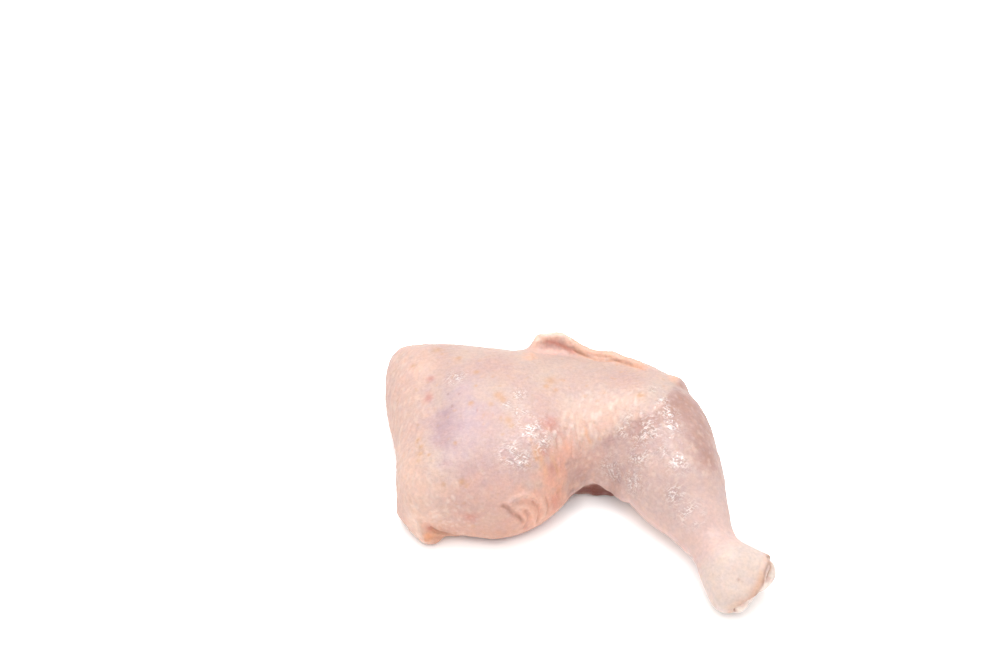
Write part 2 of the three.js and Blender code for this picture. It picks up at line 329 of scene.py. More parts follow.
def right_of(line):
    """How far to the right of a line each point lies in plan, in mm, and less than 0 to its left."""
    best = np.full(len(place), 1e9)
    for a, b in zip(line, line[1:]):
        along, offset = (b - a)[:2], (place - a)[:, :2]
        share = np.clip(offset @ along / (along @ along), 0, 1)
        distance = np.linalg.norm(offset - share[:, None] * along, axis=1)
        side = np.sign(offset[:, 0] * along[1] - offset[:, 1] * along[0])
        best = np.where(distance < np.abs(best), side * distance, best)
    return best


def search_tree(points):
    """A tree that quickly finds the nearest of some places and gives its number and distance."""
    tree = KDTree(len(points))
    for number, point in enumerate(points):
        tree.insert(point, number)
    tree.balance()
    return tree


def bell(distance, width):
    """1 at no distance, falling smoothly to almost 0 at twice the width."""
    return np.exp(-((distance / width) ** 2))


def fade(values, low, high):
    """0 below low, 1 above high, and a smooth step between them."""
    share = np.clip((values - low) / (high - low), 0, 1)
    return share * share * (3 - 2 * share)


# %% [markdown]
# ## Clouds of noise
# Nothing in meat repeats, so smooth random noise roughens every edge and colour. Its size is
# given in millimetres, and each use has its own offset, so the result is the same on each run.
# Drawn out along one direction, the same noise makes the streaks of stretched skin.

# %% Noise over the skin
OFFSET_STEP = 7.31
NOISE_GAIN = 1.6


def cloud(size, offset, along=None, longer=1):
    """Smooth noise from about -1 to 1, with blobs size mm wide that may be drawn out."""
    scaled = place / size
    if along is not None:
        along = np.array(along) / np.linalg.norm(along)
        scaled = scaled - (scaled @ along)[:, None] * along * (1 - 1 / longer)
    return np.array([noise.noise(Vector(p)) for p in scaled + offset * OFFSET_STEP]) * NOISE_GAIN


broad = cloud(16, 1)
medium = cloud(5, 2)
fine = cloud(1.9, 3)
print("noise spread:", round(float(broad.std()), 2), round(float(fine.std()), 2))

# %% [markdown]
# ## The parts of the leg
# The cream skin of the thigh ends in an edge that crosses the knee, and beyond it the mauve
# muscle shows through the thinner skin of the drumstick. Shares from 0 to 1 say how far each
# point belongs to the drumstick, to its bare shank, to the knuckle at the hock and to the
# underside, and how far it faces away from the camera. Heights and colours are mixed by them.
# The edge is sharp where the camera sees it. It blurs at its lower end and where it runs on
# straight, out of sight. Sizes are in mm, and a pair of them is where a share begins and is full.

# %% Shares of the skin
KNEE_EDGE_PX = [
    (574, 492), (570, 478), (568, 463), (580, 460), (593, 450), (603, 440), (615, 434),
    (625, 430), (632, 421), (645, 417), (654, 412), (664, 405), (668, 396), (674, 386), (678, 380),
]
KNEE_EDGE_WIDTH = 0.9
BLURRED_END_PX = (572, 470)
BLUR_WIDTH, BLUR_REACH = 2.2, 6
UNSEEN_BLUR = 4.0
BEHIND_KNEE = 60
TURNED_AWAY = (-0.15, 0.3)
SHIN_START = np.array((38.0, 10.0))
SHIN_END = np.array((71.0, -53.0))
SHANK_BEGINS = (30, 46)
KNUCKLE_BEGINS = (52, 62)
FACING_DOWN = (0.35, 0.8)

knee_edge = smooth_line(seen_line(KNEE_EDGE_PX), 3)
out_of_sight = knee_edge[-1] - knee_edge[-4]
knee_edge.append(knee_edge[-1] + BEHIND_KNEE * out_of_sight / np.linalg.norm(out_of_sight))
past_knee = right_of(knee_edge)
to_camera = np.array(CAMERA_PLACE) / MM - place
facing = np.sum(normal * to_camera, axis=1) / np.linalg.norm(to_camera, axis=1)
hidden = fade(-facing, *TURNED_AWAY)
from_end = np.linalg.norm(place - seen_at(*BLURRED_END_PX), axis=1)
edge_width = KNEE_EDGE_WIDTH + BLUR_WIDTH * bell(from_end, BLUR_REACH)
edge_width += UNSEEN_BLUR * hidden
drumstick = fade((past_knee + 0.35 * medium + 0.25 * fine) / edge_width, -1, 1)
shin_axis = (SHIN_END - SHIN_START) / np.linalg.norm(SHIN_END - SHIN_START)
down_shin = (place[:, :2] - SHIN_START) @ shin_axis
shank = drumstick * fade(down_shin + 4 * broad, *SHANK_BEGINS)
knuckle = drumstick * fade(down_shin, *KNUCKLE_BEGINS)
underside = fade(-normal[:, 2], *FACING_DOWN)
thigh = 1 - drumstick
print("drumstick share of the skin:", round(float(drumstick.mean()), 2))

# %% [markdown]
# ## Folds and wrinkles
# Loose skin folds over itself at the thigh's corner, gathers in small pleats in the bend of the
# knee, and makes a whorl on the bulge in front. Behind, it ends in an edge that is rolled up like
# a cord. Each is a stroke along a smooth line: a crease is a pressed line with soft lips, and a
# ridge is a raised line. A little noise makes each stroke swell and fade, as no fold is even.
# Each stroke's height or depth comes first and its width last, both in mm.

# %% Lines of the folds
CORNER_CREASE_PX = [(431, 528), (436.7, 531.9), (442.4, 532.8), (448, 533), (454, 533.6), (457, 535.4)]
CORNER_RIDGE_PX = [(420, 522), (423, 531), (426, 539), (429, 546)]
CORNER_HOLLOW_PX = [(434, 535), (440, 538), (446, 539)]
CORNER_FACET_PX = [(412, 519), (417, 530), (420, 540)]
DIMPLE_PX = [(503, 506), (508, 508), (513, 513), (518, 516), (522, 521)]
WHORL_CREST_PX = [(510, 503), (513, 499.5), (519, 496), (526, 495), (532, 497), (537, 501)]
WHORL_RIDGES_PX = [
    [(518, 507), (524, 506), (530, 509), (533, 514), (534.5, 520), (534.5, 525)],
    [(540, 500), (544, 506), (544, 513), (541, 519)],
]
WHORL_FOLDS_PX = [
    ([(525, 511), (528.5, 516), (527, 522), (525, 527)], 0.6),
    ([(533, 501), (537, 505), (539.5, 510), (538.5, 516), (537, 521)], 0.6),
    ([(546, 498), (548, 503), (548, 508), (546, 513)], 0.3),
    ([(557, 492), (559, 497), (558, 502)], 0.15),
]
PLEATS_PX = [
    [(594, 424), (597, 432), (601, 440)],
    [(585, 424), (589, 434), (593, 445)],
    [(576, 428), (580, 440), (585, 452)],
    [(566, 430), (571, 442), (574, 455)],
    [(556, 438), (561, 452), (566, 466)],
    [(549, 450), (554, 462), (559, 475)],
]
BACK_CREASE_PX = [(447, 364), (470, 362.5), (495, 362), (520, 361), (540, 359)]
RIM_CREASE_PX = [
    (575, 351.5), (583, 355.5), (590, 358.5), (600, 360.8), (608, 361.5), (615, 361),
    (624, 363.7), (635, 367), (645, 370),
]
RIM_ROLL_PX = [
    (531, 344), (537, 339.5), (545, 336.5), (553, 335.5), (561, 336), (567, 338.5), (574, 343),
    (581, 348.5), (590, 352.5), (603, 354.5), (613, 356), (623, 359.5), (634, 363), (643, 367),
]
WEB_BULGE_PX = [(602, 480), (609, 484), (617, 489), (625, 495)]
WEB_NOTCH_PX = [(569, 494), (575, 489)]
THIGH_BULGE_PX = [(553, 509), (559, 504), (564, 498)]
FRONT_BULGE_PX = [(458, 531), (475, 534), (492, 535.5), (506, 534)]
KNEE_STEP_DEPTH, KNEE_STEP_REACH = 0.15, 7


# %% Strokes along them
def stroke(pixels):
    """How far each point is from a smooth line through the places seen at some pixels."""
    return distance_to(smooth_line(seen_line(pixels)))


def crease(pixels, depth, width):
    """A pressed line with soft lips on both sides, as where skin folds over itself."""
    distance = stroke(pixels)
    return depth * (0.35 * bell(distance - 2 * width, width) - bell(distance, width))


uneven = 1 + 0.5 * cloud(4, 11)
height = crease(CORNER_CREASE_PX, 1.5, 0.8)
height += 1.4 * bell(stroke(CORNER_RIDGE_PX), 1.2) - 1.0 * bell(stroke(CORNER_HOLLOW_PX), 1.8)
height += crease(DIMPLE_PX, 1.0, 0.9) * uneven + crease(BACK_CREASE_PX, 0.25, 1.0) * uneven
height += 1.0 * bell(stroke(WHORL_CREST_PX), 0.9) * uneven
for ridge in WHORL_RIDGES_PX:
    height += 0.45 * bell(stroke(ridge), 0.9) * uneven
for fold, depth in WHORL_FOLDS_PX:
    height += crease(fold, depth, 0.7) * uneven
for pleat in PLEATS_PX:
    height += crease(pleat, 0.3, 0.9) * uneven
height += crease(RIM_CREASE_PX, 0.6, 0.45) + 0.9 * bell(stroke(RIM_ROLL_PX), 1.3)
height += 2.6 * bell(stroke(WEB_BULGE_PX), 3.2) - 1.0 * bell(stroke(WEB_NOTCH_PX), 1.8)
height += 1.5 * bell(stroke(THIGH_BULGE_PX), 3.0) + 0.8 * bell(stroke(FRONT_BULGE_PX), 3.5)
knee_step = fade(past_knee + 0.5 * medium, -1, 1) * bell(past_knee, KNEE_STEP_REACH) * (1 - underside)
height -= KNEE_STEP_DEPTH * knee_step
raise_skin(height)
print("deepest and highest stroke, mm:", round(float(height.min()), 2), round(float(height.max()), 2))

# %% [markdown]
# ## The hock
# The foot was cut off through the hock joint. The skin around the cut has shrunk a little: its
# edge is a thin raised lip that has dried brown. Two planes cut the CAD solid there, each given
# by its direction and its reach in mm, so a point's distance to them says how close to the edge
# it is. Soft pushes then let the lip hang over the bone. Each has a middle, a size and an offset.

# %% The lip round the hock
HOCK_CUTS = [((0.89, -0.43, -0.15), 85.66), ((0.45, -0.88, -0.15), 83.31)]
CUT_DEPTH = (0.3, 0.8)
LIP_INLAND, LIP_WIDTH, LIP_HEIGHT = 1.3, 0.9, 0.3
OVERHANGS = [
    ((72, -54.6, 15.5), 6.5, (3.0, -0.8, -0.6)),
    ((67, -60.5, 14.0), 4.0, (1.2, -0.8, 0)),
    ((79.0, -42.0, 19.0), 3.8, (-1.9, 0.3, -1.6)),
    ((76.0, -41.0, 22.5), 5.0, (-0.2, 0, -0.8)),
    ((77.0, -46.5, 18.0), 4.0, (1.2, -0.3, -0.8)),
]

to_cut = np.min([reach - place @ np.array(n) / np.linalg.norm(n) for n, reach in HOCK_CUTS], axis=0)
print("nearest point to the hock's cut, mm:", round(float(to_cut.min()), 2))
cut_face = (1 - fade(to_cut, *CUT_DEPTH)) * knuckle
lip = bell(to_cut - LIP_INLAND, LIP_WIDTH) * knuckle
overhang = np.zeros(place.shape)
for middle, size, offset in OVERHANGS:
    overhang += bell(np.linalg.norm(place - middle, axis=1), size)[:, None] * offset
shift_skin(overhang)
raise_skin(LIP_HEIGHT * lip * (1 - cut_face) * (1 + medium))
print("furthest push of the lip, mm:", round(float(np.linalg.norm(overhang, axis=1).max()), 1))

# %% [markdown]
# ## Follicles and fine relief
# A feather grew from each follicle, and each left a small pale hump about three millimetres
# from the next. They are round on the drumstick, drawn out to streaks where the thigh's skin is
# stretched, and faint on the shank. The points of the mesh are taken in a shuffled order, and
# one becomes a follicle if none is too near. Between them the skin is finely wrinkled.

# %% Where the follicles are
FOLLICLE_GAP = 3.0
SCATTER_SEED = 5


def scattered(gap, seed):
    """Numbers of points of the skin that lie at least a gap in mm from each other."""
    cells, chosen = {}, []
    for index in np.random.default_rng(seed).permutation(len(place)):
        x, y, z = (int(c // gap) for c in place[index])
        near = [
            n for i in (-1, 0, 1) for j in (-1, 0, 1) for k in (-1, 0, 1)
            for n in cells.get((x + i, y + j, z + k), ())
        ]
        if all(np.sum((place[index] - place[n]) ** 2) > gap**2 for n in near):
            cells.setdefault((x, y, z), []).append(index)
            chosen.append(index)
    return np.array(chosen)


follicle_points = scattered(FOLLICLE_GAP, SCATTER_SEED)
follicle_tree = search_tree(place[follicle_points])
nearest = np.array([follicle_tree.find(point)[1] for point in place])
print("follicles:", len(follicle_points))

# %% Follicle humps, in mm high on the thigh, and more or less so on the other parts
FOLLICLE_SIZE = 0.85
SIZE_RANGE, SIZE_SEED = (0.7, 1.15), 8
STREAK_LENGTH = 2.6
PICTURE_UP = (0.05, 0.74, 0.67)
STRETCHED_BAND = (-28, -5)
LEFT_EDGE = (-72, -52)

band = thigh * fade(place[:, 0], *STRETCHED_BAND)
left_edge = thigh * (1 - fade(place[:, 0], *LEFT_EDGE))
offset = place - place[follicle_points[nearest]]
pull = 1 + (STREAK_LENGTH - 1) * np.maximum(band, 0.5 * left_edge)
along = offset @ np.array(PICTURE_UP)
across = np.sqrt(np.maximum(np.sum(offset**2, axis=1) - along**2, 0) + (along / pull) ** 2)
own_size = np.random.default_rng(SIZE_SEED).uniform(*SIZE_RANGE, len(follicle_points))[nearest]
follicle = bell(across, FOLLICLE_SIZE * own_size) * (own_size - 0.3)
hump = 0.07 + 0.05 * band + 0.12 * drumstick - 0.14 * shank - 0.05 * knuckle
print("mean hump, mm:", round(float((hump * follicle).mean()), 3))

# %% Wrinkles between them: crinkles all over, beads along the knee's edge, streaks on the thigh
WRINKLE_SLANT = (0.45, -0.8, -0.3)
CRINKLE_HEIGHT, STREAK_HEIGHT, SLANTED_HEIGHT = 0.09, 0.17, 0.13
BEAD_HEIGHT, BEAD_WIDTH = 0.2, 1.6
BEADS_BEGIN = (0, 12)
HIP_END_STOPS = (-60, -30)
FRONT_STOPS = (5, 25)

streaks = cloud(1.3, 4, PICTURE_UP, 4)
slanted = cloud(1.4, 5, WRINKLE_SLANT, 5)
crinkle = 1 - 2 * np.abs(cloud(1.5, 9))
beads = bell(past_knee, BEAD_WIDTH) * fade(place[:, 1], *BEADS_BEGIN)
coarseness = 0.5 + 0.5 * fade(broad, -0.3, 0.4)
relief = hump * follicle * (1 - underside)
relief += CRINKLE_HEIGHT * crinkle * (1 - 0.6 * knuckle) * (1 - underside) * coarseness
relief += BEAD_HEIGHT * beads * np.maximum(cloud(1.6, 10), 0)
relief += (0.07 * fine + 0.14 * medium) * (1 - 0.5 * knuckle)
relief += STREAK_HEIGHT * streaks * np.maximum(left_edge, 0.7 * band)
at_hip_end = 1 - fade(place[:, 0], *HIP_END_STOPS)
in_front = 1 - fade(place[:, 1], *FRONT_STOPS)
relief += SLANTED_HEIGHT * slanted * thigh * at_hip_end * in_front
raise_skin(relief)
print("spread of the relief, mm:", round(float(relief.std()), 3))

# %% [markdown]
# ## Where the skin is wettest
# The water on raw skin lies in patches, mostly where the skin is puckered into tiny crossed
# wrinkles. There the light breaks into clusters of short bright strokes, one on each crest, and
# between the patches the skin is only damp. Each patch is a dab, torn up by noise, and the side
# that the picture doesn't show gets its patches from noise alone. Two clouds drawn out along
# crossed directions are the wrinkles, and they take turns.

# %% Puckered wet patches
WET_PATCHES_PX = [
    (531, 428, 6), (540, 440, 5), (512, 455, 5), (522, 460, 4), (519, 395, 3), (506, 404, 2.5),
    (520, 412, 3), (456, 378, 4), (655, 390, 3), (662, 400, 3), (668, 412, 4), (672, 425, 3.5),
    (645, 430, 6), (652, 440, 4), (660, 452, 3), (678, 463, 4), (632, 420, 4), (634, 484, 5),
    (674, 494, 4), (690, 514, 5), (640, 455, 5), (612, 470, 5), (700, 395, 4), (623, 430, 3),
]
PUCKER_SLANTS = [(0.6, -0.5, -0.6), (0.35, 0.75, 0.55)]
PUCKER_WIDTH, PUCKER_LENGTH = 0.75, 3.2
PUCKER_HEIGHT = 0.28


def dab(px, py, size):
    """A soft ragged patch size mm wide round the place seen at a pixel."""
    distance = np.linalg.norm(place - seen_at(px, py), axis=1)
    return bell(distance * (1 + 0.3 * medium), size)


def strongest(spots):
    """The dabs of some spots together: each point has the share of the strongest one."""
    return np.max([dab(*spot) for spot in spots], axis=0)


turns = fade(cloud(4, 16), -0.25, 0.25)
pucker = turns * cloud(PUCKER_WIDTH, 14, PUCKER_SLANTS[0], PUCKER_LENGTH)
pucker += (1 - turns) * cloud(PUCKER_WIDTH, 15, PUCKER_SLANTS[1], PUCKER_LENGTH)
crest = fade(pucker, -0.4, 0.2)
wet_patch = strongest(WET_PATCHES_PX)
wet_patch = np.maximum(wet_patch, 0.8 * hidden * fade(cloud(7, 19), 0.45, 0.8) * (1 - underside))
wet_patch = np.clip(1.2 * wet_patch * fade(medium + 0.6 * fine, -0.8, 0.2), 0, 1)
raise_skin(PUCKER_HEIGHT * pucker * wet_patch)
print("puckered share of the skin:", round(float((wet_patch > 0.5).mean()), 3))

# %% [markdown]
# ## The underside
# The inner side of the thigh has no skin. A border of skin wraps round the edge, and inside it
# lies the raw meat, sunk a little, with a pale seam of sinew where two muscles meet. The photo
# doesn't show it, so it is made as such a cut usually looks. The seams are lines in plan. How
# far a point is from the rim, where the skin turns under, says whether it lies inside the border.
# The hollow under the knee has bare meat too: on its far wall, and hanging from its ceiling, both
# painted dark as painted shade.

# %% Meat, border and seams
BORDER, BORDER_EDGE = 9.0, 1.2
MEAT_STOPS = (-6, -4)
SEAMS = [
    [(-66, 50), (-44, 36), (-20, 31), (6, 36), (24, 40)],
    [(-70, 16), (-48, 10), (-24, 12), (-4, 22), (8, 34)],
    [(-56, -18), (-44, -4), (-34, 11)],
    [(-30, 55), (-26, 44), (-20, 31)],
]
RIM_TILT, RIM_SPREAD = -0.1, 0.12
MEAT_DEPTH, SEAM_DEPTH, SEAM_WIDTH = 0.9, 1.5, 1.3
FIBRES_ALONG, FIBRE_HEIGHT = (1, 0.3, 0), 0.15

rim_points = np.flatnonzero(np.abs(normal[:, 2] - RIM_TILT) < RIM_SPREAD)
rim_tree = search_tree(place[rim_points])
inland = np.array([rim_tree.find(point)[2] for point in place])
meat = underside * fade(inland + 2.5 * medium + 2 * broad, BORDER, BORDER + BORDER_EDGE)
meat *= 1 - fade(past_knee, *MEAT_STOPS)
seam = np.zeros(len(place))
for plan in SEAMS:
    line = smooth_line([(x, y, 0) for x, y in plan])
    seam = np.maximum(seam, bell(distance_to(line), SEAM_WIDTH) * meat)
print("raw meat's share of the skin:", round(float(meat.mean()), 2))

# %% The hollow under the knee, and the pressed and hanging meat
HOLLOW_MIDDLE = (8, -4)
HOLLOW_REACH = (13, 17)
HOLLOW_RIM = (0.95, 1.1)
CEILING_TOP, WALL_TOP = 13, 14.5
WALL_BEHIND = (-3.2, -1.6)
MEAT_CLEARANCE = 0.8

from_hollow = np.linalg.norm((place[:, :2] - HOLLOW_MIDDLE) / HOLLOW_REACH, axis=1)
in_hollow = 1 - fade(from_hollow, *HOLLOW_RIM)
under_web = fade(-normal[:, 2], 0.1, 0.45) * in_hollow
under_web *= fade(CEILING_TOP - place[:, 2], 0, 2)
hollow_wall = fade(-normal[:, 1], 0.2, 0.5) * in_hollow
hollow_wall *= fade(place[:, 1], *WALL_BEHIND) * fade(WALL_TOP - place[:, 2], 0, 1.5)
raise_skin(-MEAT_DEPTH * meat - SEAM_DEPTH * seam + FIBRE_HEIGHT * meat * cloud(3, 6, FIBRES_ALONG, 5))
hanging = under_web * fade(place[:, 1] + 0.8 * medium, -3.0, 3.0) * (place[:, 2] - MEAT_CLEARANCE)
shift_skin(np.outer(hanging, (0, 0, -1)))
print("longest hanging meat, mm:", round(float(hanging.max()), 1))

# %% [markdown]
# ## Painting the skin
# Fat, muscle and blood show through wet skin, so its colour changes all over in soft patches.
# They are painted on the points of the mesh as a colour attribute, each a mix towards one of a
# few named colours, laid on in dabs and lines as with a brush. A spot is the pixel across, the
# pixel down and its size in mm. The light in this scene is stronger than 1, so each colour is
# darker here than it looks in the picture.
# Some of this paint is painted light and shade: lighter on lit crests and facets, darker in creases,
# under a bulge and in the hollow under the knee.

# %% Colours of skin and meat
CREAM_SKIN = "#C4ADA3"
PINK_SKIN = "#C1A39B"
PEACH_SKIN = "#D1B0A4"
PALE_PEACH = "#DAB9AA"
WARM_PEACH = "#C99B88"
BRIGHT_PEACH = "#E2AA94"
LAVENDER_MUSCLE = "#C1A9AC"
DEEP_LAVENDER = "#AE9398"
GREY_MUSCLE = "#BA9D99"
ROSE_MUSCLE = "#CDA89C"
WHITE_FAT = "#E0CFC4"
YELLOW_FAT = "#C29A7A"
ORANGE_FAT = "#D2A384"
BLOOD_PINK = "#BC857A"
MAUVE_MUSCLE = "#BBA19B"
DEEP_MAUVE = "#AB877D"
PALE_MAUVE = "#C8AEA7"
SHANK_SKIN = "#CFB5AE"
KNUCKLE_SKIN = "#D1BFB6"
ROLLED_RIM = "#DBB19C"
LOOP_PINK = "#DDBAB0"
RIM_ORANGE = "#DFA587"
FLAP_EDGE = "#F4D6C8"
CORNER_SHADE_ORANGE = "#DA9D7A"
SALMON = "#D08C7D"
FOLD_SHADE_ORANGE = "#CC9A7E"
DRIED_BROWN_AND_CREASE_SHADE = "#8E5E48"
RAW_MEAT = "#9F5952"
DARK_MEAT = "#7A2C26"
SHADED_MEAT = "#74443B"
CREASE_SHADE_BROWN = "#9C7064"
CREST_HIGHLIGHT_PINK = "#E6CABB"
FOLLICLE_HOLE = "#8C6A60"
SINEW = "#C9B2A9"
CUT_EDGE = "#E8CDC0"

tone = np.tile(linear(CREAM_SKIN)[:3], (len(place), 1))


def mixed(tones, colour, share):
    """Some tones with a colour mixed in, by a share from 0 to 1 for each point."""
    share = np.clip(share, 0, 1)[:, None]
    return tones * (1 - share) + share * np.array(linear(colour)[:3])


def paint(colour, share):
    """Mixes a colour into the skin's own."""
    tone[:] = mixed(tone, colour, share)


def paint_dabs(colour, strength, spots, where=1):
    """Dabs of a colour on some spots, held back where a share is less than 1."""
    for spot in spots:
        paint(colour, strength * dab(*spot) * where)


def paint_line(colour, strength, pixels, width, where=1):
    """A line of a colour, width mm wide, through the places seen at some pixels."""
    paint(colour, strength * bell(stroke(pixels), width) * where)


def mean_tone():
    """The skin's mean colour so far, in linear light."""
    return [round(float(channel), 3) for channel in tone.mean(axis=0)]


# %% Paint the thigh
LOW_FRONT = (6, 27)
THIGH_DABS_PX = [
    (PALE_PEACH, 0.7, [(405, 470, 8), (412, 495, 9), (400, 450, 6), (420, 520, 6), (410, 525, 6)]),
    (PALE_PEACH, 0.5, [(430, 498, 6), (450, 491, 5), (421, 370, 5), (432, 515, 5)]),
    (LAVENDER_MUSCLE, 0.7, [(460, 392, 9), (464, 412, 9), (452, 430, 8), (470, 428, 9), (456, 455, 7)]),
    (DEEP_LAVENDER, 0.7, [(441, 427, 4.5), (445, 441, 4), (446, 414, 3)]),
    (GREY_MUSCLE, 0.6, [(480, 462, 9), (500, 450, 8), (492, 478, 9), (474, 480, 7), (520, 440, 6)]),
    (GREY_MUSCLE, 0.6, [(522, 470, 5), (506, 483, 6), (472, 490, 6)]),
    (ROSE_MUSCLE, 0.6, [(468, 500, 8), (490, 505, 9), (508, 490, 6), (462, 515, 5)]),
    (BRIGHT_PEACH, 0.6, [(526, 508, 7), (543, 507, 8), (556, 492, 7), (562, 470, 6)]),
    (BRIGHT_PEACH, 0.6, [(567, 450, 5), (547, 478, 4)]),
    (PALE_PEACH, 0.6, [(584, 428, 6), (596, 420, 6), (572, 420, 6), (610, 410, 7), (630, 400, 6)]),
    (BLOOD_PINK, 0.75, [(550, 424, 3.4), (431, 379, 1.6), (429, 398, 2.0), (553, 468, 3)]),
    (BLOOD_PINK, 0.75, [(470, 517, 2.5), (543, 452, 2)]),
]

paint(PINK_SKIN, 0.5 + 0.6 * broad)
# The low front faces are painted warm peach: partly the skin's own tone, partly painted light for the
# warm glow of light through the thin lower skin.
front = (1 - fade(place[:, 2] + 3 * broad, *LOW_FRONT)) * (1 - 0.6 * fade(normal[:, 1], -0.1, 0.5))
paint(WARM_PEACH, 0.8 * front * thigh)
paint(PEACH_SKIN, left_edge * (0.75 + 0.3 * medium))
for colour, strength, spots in THIGH_DABS_PX:
    paint_dabs(colour, strength, spots)
paint(LAVENDER_MUSCLE, 0.6 * fade(cloud(13, 17), 0.0, 0.7) * hidden * (1 - underside))
paint(PALE_PEACH, 0.5 * fade(cloud(8, 18), 0.1, 0.8) * hidden * (1 - underside))
print("mean tone after the thigh:", mean_tone())

# %% Flecks of fat and blood under the skin
FAT_FLECKS_PX = [
    (498, 395, 1.8), (503, 400, 1.4), (471, 403, 1.2), (476, 386, 0.9), (455, 443, 0.9), (462, 482, 1.3),
    (509, 420, 2.0), (551, 381, 2.2), (546, 386, 1.3), (556, 390, 1.2), (437, 350, 1.6), (413, 366, 1.4),
    (459, 358, 1.6), (477, 372, 1.2), (421, 447, 1.3), (420, 454, 1.4), (419, 461, 1.2), (429, 455, 0.9),
    (444, 484, 1.1), (512, 426, 1.3), (640, 395, 1.8), (491, 404, 1.1), (418, 440, 1.3),
]
ORANGE_STREAKS_PX = [
    [(530, 440), (534, 450), (536, 459)],
    [(537, 446), (540, 456), (541, 466)],
    [(542, 458), (545, 468), (545, 476)],
    [(551, 452), (555, 464), (558, 474)],
    [(584, 428), (587, 435), (590, 442)],
]
FOLLICLE_HOLES_PX = [(448, 394, 0.5), (459, 394, 0.5), (452, 406, 0.6), (461, 417, 0.5)]
LOW_LEFT_PX = (440, 505, 16)

paint_dabs(YELLOW_FAT, 0.75, FAT_FLECKS_PX)
for streak in ORANGE_STREAKS_PX:
    paint_line(ORANGE_FAT, 0.65, streak, 1.0, fade(medium, -1.0, 0.2))
flecks = fade(cloud(2.4, 12), 0.75, 1.15) * thigh * (1 - underside)
paint(YELLOW_FAT, 0.35 * flecks)
paint_dabs(FOLLICLE_HOLE, 0.5, FOLLICLE_HOLES_PX)
low_left = dab(*LOW_LEFT_PX) * (1 - underside)
paint(WHITE_FAT, 0.45 * fade(slanted, 0.1, 0.8) * low_left)
paint(WHITE_FAT, 0.35 * fade(streaks, 0.1, 0.9) * left_edge * (1 - underside))
print("mean tone after the flecks:", mean_tone())

# %% Paint the drumstick and the hock
MAUVE_ENDS, PALE_BEGINS = (10, 30), (2, 20)
MUSCLE_DABS_PX = [
    (DEEP_MAUVE, 0.8, [(690, 405, 7), (700, 435, 8), (707, 456, 7), (681, 394, 5), (662, 412, 5)]),
    (DEEP_MAUVE, 0.8, [(672, 402, 5)]),
    (MAUVE_MUSCLE, 0.6, [(660, 445, 7), (655, 470, 6), (672, 485, 6), (640, 470, 5), (680, 430, 6)]),
    (PALE_MAUVE, 0.7, [(618, 455, 6), (603, 470, 6), (652, 462, 4), (653, 474, 4), (705, 505, 7)]),
    (PALE_MAUVE, 0.7, [(640, 500, 5)]),
    (ROSE_MUSCLE, 0.8, [(583, 464, 5), (573, 466, 4), (596, 456, 4)]),
]
ORANGE_INLAND, ORANGE_WIDTH = 1.6, 1.2
BROWN_INLAND, BROWN_WIDTH = 0.8, 0.6
KNUCKLE_CREASE_PX = [(738.5, 579.7, 0.7), (742, 582, 0.5)]
UNDER_BULGE_PX = [(490, 530, 5), (508, 529, 5)]

paint(MAUVE_MUSCLE, drumstick)
paint(DEEP_MAUVE, drumstick * (0.35 + 0.5 * broad) * (1 - fade(down_shin, *MAUVE_ENDS)))
paint(PALE_MAUVE, drumstick * fade(down_shin + 5 * broad, *PALE_BEGINS) * 0.9)
for colour, strength, spots in MUSCLE_DABS_PX:
    paint_dabs(colour, strength, spots, drumstick)
paint(WHITE_FAT, 0.2 * fade(cloud(2.2, 13), 0.3, 0.9) * drumstick * (1 - shank))
# The drumstick's low front faces get peach too, partly as that painted glow.
paint(PEACH_SKIN, drumstick * front * 0.7)
paint(SHANK_SKIN, shank)
paint(KNUCKLE_SKIN, knuckle)
orange_edge = bell(to_cut - ORANGE_INLAND, ORANGE_WIDTH)
paint(ORANGE_FAT, 0.6 * orange_edge * knuckle * fade(broad, -0.6, 0.4))
paint(CUT_EDGE, cut_face)
brown_edge = bell(to_cut - BROWN_INLAND, BROWN_WIDTH)
paint(DRIED_BROWN_AND_CREASE_SHADE, 0.5 * brown_edge * knuckle * fade(medium, -0.9, 0.2))
# Painted shade: darker brown in the knuckle's crease and, faintly, under the bulge of the thigh's front.
paint_dabs(CREASE_SHADE_BROWN, 0.6, KNUCKLE_CREASE_PX)
paint_dabs(CREASE_SHADE_BROWN, 0.14, UNDER_BULGE_PX)
print("mean tone after the drumstick:", mean_tone())

# %% Paint the corner and the rolled flap behind the thigh
CORNER_SALMON_PX = [(430, 529, 2.0)]
CORNER_ORANGE_PX = [(428, 536, 2.2)]
LOOP_PX = [(549, 345, 5.5)]
FLAP_EDGE_PX = [(538, 340, 2), (545, 337, 2.2), (553, 336, 2.2), (561, 337, 2.2), (569, 342, 2)]
FLAP_SHADE_PX = [(547, 341), (554, 342.5), (561, 345.5), (567, 348), (574, 352)]
ORANGE_RIM = (20, 34)

# Painted light and shade on the corner fold: its crease and shaded right facet are painted darker brown,
# salmon and orange, and its lit left facet is painted lighter as a painted highlight.
paint_line(DRIED_BROWN_AND_CREASE_SHADE, 0.8, CORNER_CREASE_PX, 0.55)
paint_dabs(SALMON, 0.75, CORNER_SALMON_PX)
paint_line(FOLD_SHADE_ORANGE, 0.8, CORNER_HOLLOW_PX, 3.2)
paint_line(CREST_HIGHLIGHT_PINK, 0.7, CORNER_FACET_PX, 2.4)
paint_dabs(CORNER_SHADE_ORANGE, 0.8, CORNER_ORANGE_PX)
rim_line = stroke(RIM_ROLL_PX)
paint(ROLLED_RIM, bell(rim_line, 2.6) * thigh)
paint(RIM_ORANGE, 0.5 * bell(rim_line, 2.0) * thigh * fade(place[:, 0], *ORANGE_RIM))
paint_dabs(LOOP_PINK, 1, LOOP_PX, 1 - bell(rim_line, 1.5))
paint_dabs(FLAP_EDGE, 0.75, FLAP_EDGE_PX)
